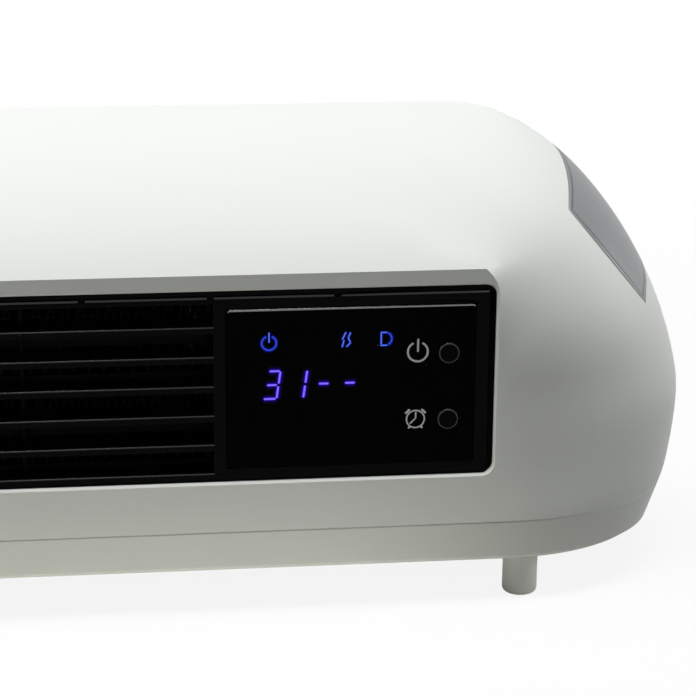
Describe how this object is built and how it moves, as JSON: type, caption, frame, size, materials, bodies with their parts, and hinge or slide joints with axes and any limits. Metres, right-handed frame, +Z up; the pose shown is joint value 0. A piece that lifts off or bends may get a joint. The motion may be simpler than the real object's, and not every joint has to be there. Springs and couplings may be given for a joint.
{
  "type": "fan heater",
  "caption": "Long domed free-standing fan heater with a recessed black front panel, fixed outlet slats, a lit display lens and push buttons, on peg feet.",
  "frame": {"origin": "on the floor, in the middle of the four feet", "axes": "+X along the length towards the display end, +Y to the back, +Z up; the outlet faces -Y"},
  "size_m": [0.5458, 0.1301, 0.1969],
  "materials": {
    "white_shell": "semi-gloss moulded white",
    "black_plastic": "satin moulded black",
    "grey_plastic": "satin moulded white",
    "lens_black": "polished black",
    "button_black": "semi-gloss black",
    "switch_plastic": "moulded dark grey",
    "circuit_board": "green solder mask",
    "ribbon": "grey flat lead",
    "heater_insulator": "cream heat-resistant moulding",
    "aluminium": "mill",
    "steel": "zinc plated",
    "sheet_metal": "galvanised sheet",
    "wheel_metal": "mill",
    "copper_coil": "enamelled copper winding",
    "bronze": "sintered",
    "rubber": "matt"
  },
  "bodies": {
    "casing": {"base_screws": "steel", "base_tray": "white_shell", "blower_end_left": "sheet_metal", "blower_end_right": "sheet_metal", "board_screws": "steel", "bush_mount": "rubber", "capacitor": "switch_plastic", "cord_gland": "black_plastic", "display_board": "circuit_board", "display_lens": "lens_black", "display_module": "switch_plastic", "display_ribbon": "ribbon", "display_screws": "steel", "fin_pack_1": "aluminium", "fin_pack_2": "aluminium", "fin_pack_3": "aluminium", "fin_pack_4": "aluminium", "foot_front_left": "white_shell", "foot_front_right": "white_shell", "foot_rear_left": "white_shell", "foot_rear_right": "white_shell", "grille_screws": "steel", "heater_frame": "heater_insulator", "heating_bar_lower": "aluminium", "heating_bar_middle": "aluminium", "heating_bar_upper": "aluminium", "motor_bracket_inner": "steel", "motor_bracket_outer": "steel", "motor_bush_inner": "bronze", "motor_bush_outer": "bronze", "motor_coil": "copper_coil", "motor_core": "steel", "motor_screws": "steel", "outlet_grille": "black_plastic", "power_board": "circuit_board", "power_switch": "switch_plastic", "rear_grille": "grey_plastic", "rear_grille_screws": "steel", "relay_high": "switch_plastic", "relay_low": "switch_plastic", "scroll_plate": "sheet_metal", "stub_bush": "bronze", "terminal_block": "switch_plastic", "thermal_cutout": "steel", "thermal_fuse": "steel", "timer_switch": "switch_plastic", "tongue_plate": "sheet_metal", "top_cover": "white_shell"},
    "fan": {"fan_wheel": "wheel_metal", "motor_shaft": "steel", "stub_shaft": "steel", "motor_rotor": "steel"},
    "power_button": {"power_button": "button_black", "power_plunger": "switch_plastic"},
    "timer_button": {"timer_button": "button_black", "timer_plunger": "switch_plastic"}
  },
  "joints": [
    {"name": "fan_spin", "type": "hinge", "parent": "casing", "child": "fan", "pos_m": [0, 0.014, 0.104], "axis": [1, 0, 0], "continuous": true},
    {"name": "power_press", "type": "slide", "parent": "casing", "child": "power_button", "axis": [0, 1, 0], "range_m": [0, 0.0008], "stiffness_N_per_m": 1500},
    {"name": "timer_press", "type": "slide", "parent": "casing", "child": "timer_button", "axis": [0, 1, 0], "range_m": [0, 0.0008], "stiffness_N_per_m": 1500}
  ]
}
